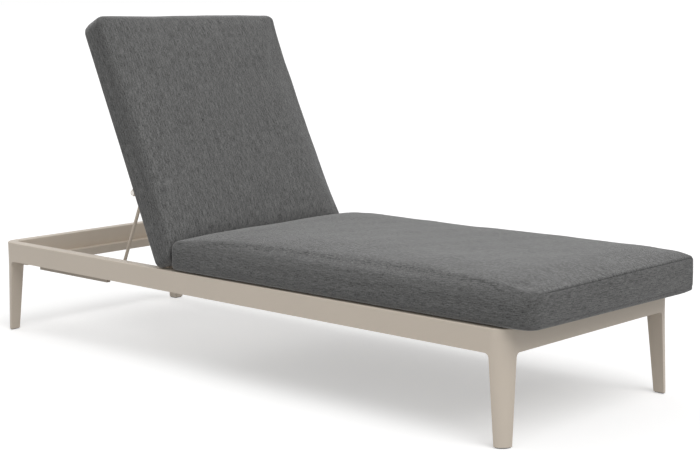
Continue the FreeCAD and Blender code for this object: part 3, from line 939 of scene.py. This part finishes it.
@dataclass
class MetalWork:
    """The coated frame, back frame, prop and racks, which keep their CAD shapes."""

    coat: bpy.types.Material
    rack: bpy.types.Material
    steel: bpy.types.Material
    plastic: bpy.types.Material
    cap: bpy.types.Material

    def dress(self) -> None:
        """Gives each rigid CAD node the finish of its material slot, and the caps their own."""
        finishes = {"frame_coating": self.coat, "rack_coating": self.rack,
                    "bare_steel": self.steel, "dark_plastic": self.plastic}
        for entry in frame["record"]["subparts"]:
            finish = self.cap if "cap" in entry["node"] else finishes.get(entry["material_slot"])
            if finish is None:
                continue
            mesh = frame["nodes"][entry["node"]].data
            mesh.materials.clear()
            mesh.materials.append(finish)
            LOG.info("%s: %s", entry["node"], finish.name)


@dataclass(frozen=True)
class WideLight:
    """A wide, soft light that is the same all over the floor."""

    name: str
    level: float
    source: Point
    spread: float

    def build(self) -> None:
        """Sets the light. Its level is the share of plain white on a face turned to its source."""
        data = bpy.data.lights.new(self.name, "SUN")
        data.energy = self.level * math.pi
        data.angle = math.radians(self.spread)
        obj = bpy.data.objects.new(self.name, data)
        bpy.context.scene.collection.objects.link(obj)
        obj.matrix_world = (-Vector(self.source)).to_track_quat("-Z", "Y").to_matrix().to_4x4()


@dataclass(frozen=True)
class SoftBox:
    """A rectangular lamp."""

    name: str
    place: Point
    aim: Point
    size: tuple[float, float]
    watts: float

    def build(self) -> None:
        """Hangs the lamp at its place and points it at its aim."""
        data = bpy.data.lights.new(self.name, "AREA")
        data.shape = "RECTANGLE"
        data.size, data.size_y = self.size
        data.energy = self.watts
        obj = bpy.data.objects.new(self.name, data)
        bpy.context.scene.collection.objects.link(obj)
        turn = (Vector(self.aim) - Vector(self.place)).to_track_quat("-Z", "Y")
        obj.matrix_world = Matrix.Translation(self.place) @ turn.to_matrix().to_4x4()


@dataclass
class Studio:
    """A white floor, soft overhead light and a camera at the photographed angle."""

    lens: float = 79.15
    sensor: float = 36.0
    far: float = 200.0
    eye: Point = (3.0755, -3.061, 1.040)
    azimuth: float = math.radians(43.71)
    elevation: float = math.radians(8.85)
    roll: float = math.radians(-0.62)
    ambient: float = 0.45
    lights: tuple[WideLight | SoftBox, ...] = (
        WideLight("overhead", 0.46, (0.55, -0.14, 0.82), 46.0),
        WideLight("behind", 0.10, (-0.66, 0.10, 0.75), 50.0),
        SoftBox("near_low", (0.8, -3.4, 0.9), (0.2, 0.0, 0.2), (2.6, 1.2), 11.0))
    floor_size: float = 400.0
    floor_drop: float = 0.001
    floor_throw: float = 0.56
    floor_white: float = 0.82
    floor_glow: float = 0.38

    def camera(self) -> None:
        """Looks along the fitted direction: right, up and back are the camera's axes."""
        data = bpy.data.cameras.new("camera")
        data.lens = self.lens
        data.sensor_width = self.sensor
        data.sensor_fit = "HORIZONTAL"
        data.clip_end = self.far
        obj = bpy.data.objects.new("camera", data)
        bpy.context.scene.collection.objects.link(obj)
        a, e = self.azimuth, self.elevation
        right = Vector((math.cos(a), math.sin(a), 0.0))
        back = Vector((math.sin(a) * math.cos(e), -math.cos(a) * math.cos(e), math.sin(e)))
        up = back.cross(right)
        c, s = math.cos(self.roll), math.sin(self.roll)
        right, up = c * right + s * up, c * up - s * right
        turn = Matrix((right, up, back)).transposed().to_4x4()
        obj.matrix_world = Matrix.Translation(self.eye) @ turn
        bpy.context.scene.camera = obj

    def floor(self) -> None:
        """A floor that is seen white, with the shadow, and that throws less light back."""
        half, z = self.floor_size / 2, -self.floor_drop
        mesh = bpy.data.meshes.new("floor")
        corners = [(-half, -half, z), (half, -half, z), (half, half, z), (-half, half, z)]
        mesh.from_pydata(corners, [], [(0, 1, 2, 3)])
        recipe = Recipe(bpy.data.materials.new("floor_white"))
        dim, white = (recipe.node("ShaderNodeBsdfDiffuse", {}, {"Color": (grey, grey, grey, 1.0)})
                      for grey in (self.floor_throw, self.floor_white))
        glow = recipe.node("ShaderNodeEmission", {}, {"Color": WHITE, "Strength": self.floor_glow})
        bright = recipe.node("ShaderNodeAddShader", {}, {0: white, 1: glow})
        both = recipe.node("ShaderNodeMixShader", {}, {0: recipe.shown(), 1: dim, 2: bright})
        recipe.node("ShaderNodeOutputMaterial", {}, {"Surface": both})
        mesh.materials.append(recipe.owner)
        obj = bpy.data.objects.new("floor", mesh)
        bpy.context.scene.collection.objects.link(obj)

    def world(self) -> None:
        """A white room: full white where it is seen, softer where it only lights."""
        world = bpy.data.worlds.new("white_room")
        bpy.context.scene.world = world
        recipe = Recipe(world)
        values = {"Value": recipe.shown(), "To Min": self.ambient, "To Max": 1.0}
        level = recipe.node("ShaderNodeMapRange", {}, values)
        room = recipe.node("ShaderNodeBackground", {}, {"Color": WHITE, "Strength": level})
        recipe.node("ShaderNodeOutputWorld", {}, {"Surface": room})

    def build(self) -> None:
        """Sets floor, camera and light."""
        bpy.context.scene.view_settings.view_transform = "Standard"
        self.world()
        self.floor()
        self.camera()
        for light in self.lights:
            light.build()
        LOG.info("studio: %d lights", len(self.lights))


def seat_place() -> Matrix:
    """The seat cushion's place: flat on the frame, from the meeting line to the foot."""
    return Matrix.Translation((SEAT_REAR_X, 0.0, FRAME_TOP + SEAT_LIFT))


def back_place(length: float, start: float = 0.012, lift: float = 0.002) -> Matrix:
    """The back cushion's place: made flat along the frame, then raised about the hinge.

    Args:
        length: The cushion's length.
        start: Its distance from the hinge.
        lift: Its height over the frame when lowered.

    Returns:
        The turn and shift from the flat cushion.
    """
    flat = Matrix.Translation((HINGE_X - start - length, 0.0, FRAME_TOP + lift))
    hinge = Matrix.Translation((HINGE_X, 0.0, HINGE_Z))
    return hinge @ Matrix.Rotation(RECLINE, 4, "Y") @ hinge.inverted() @ flat


def main() -> None:
    """Builds every sub-assembly in order."""
    logging.basicConfig(level=logging.INFO, format="%(name)s: %(message)s")
    fabric = MelangeFabric(
        "charcoal_melange", dark=linear(46, 46, 46), pale=linear(131, 131, 130),
        seam=linear(30, 30, 31)).material()
    MetalWork(
        coat=PowderCoat("taupe_coat", linear(214, 202, 187), linear(203, 192, 178)).material(),
        # The rack's coat is the frame's taupe made darker: painted shade for its place in the shadow under
        # the near rail
        rack=PowderCoat("shaded_rack_coat", linear(172, 161, 148), linear(158, 148, 136), 0.5).material(),
        steel=TurnedSteel("turned_steel", linear(138, 138, 140), linear(182, 182, 184)).material(),
        plastic=MouldedPlastic("dark_plastic", linear(44, 43, 42)).material(),
        cap=TurnedSteel("cap_steel", linear(196, 192, 186), linear(226, 222, 216)).material()).dress()
    Cushion(
        name="seat_cushion_cover", node="seat_cushion", body="frame", place=seat_place(), fabric=fabric,
        length=1.239, side_height=0.102, crown=0.005,
        corner_radii=(0.014, 0.016, 0.050, 0.004), edge_radii=(0.022, 0.026, 0.040, 0.004),
        side_radii=(0.028, 0.044), end_radii=(0.010, 0.005),
        draw_in=0.0, pulls=(0.004, 0.0, -0.003, -0.002), falls=(0.021, 0.004, 0.018, 0.0),
        end_heights=(0.083, 0.086), end_runs=(0.160, 0.120), droop=0.008, lies_flat=True).build()
    Cushion(
        name="back_cushion_cover", node="back_cushion", body="backrest",
        place=back_place(BACK_LENGTH), fabric=fabric,
        length=BACK_LENGTH, side_height=0.086, crown=0.015,
        corner_radii=(0.034, 0.025, 0.020, 0.020), edge_radii=(0.020, 0.020, 0.012, 0.020),
        side_radii=(0.014, 0.024), end_radii=(0.020, 0.008),
        draw_in=0.001, skew=0.005, pulls=(-0.002, -0.004, 0.005, 0.004), head_sewn=False,
        press_plane=SEAT_REAR_X - MEETING_GAP, side_shade_run=0.012, phase=11.0).build()
    Studio().build()


if __name__ == "__main__":
    main()
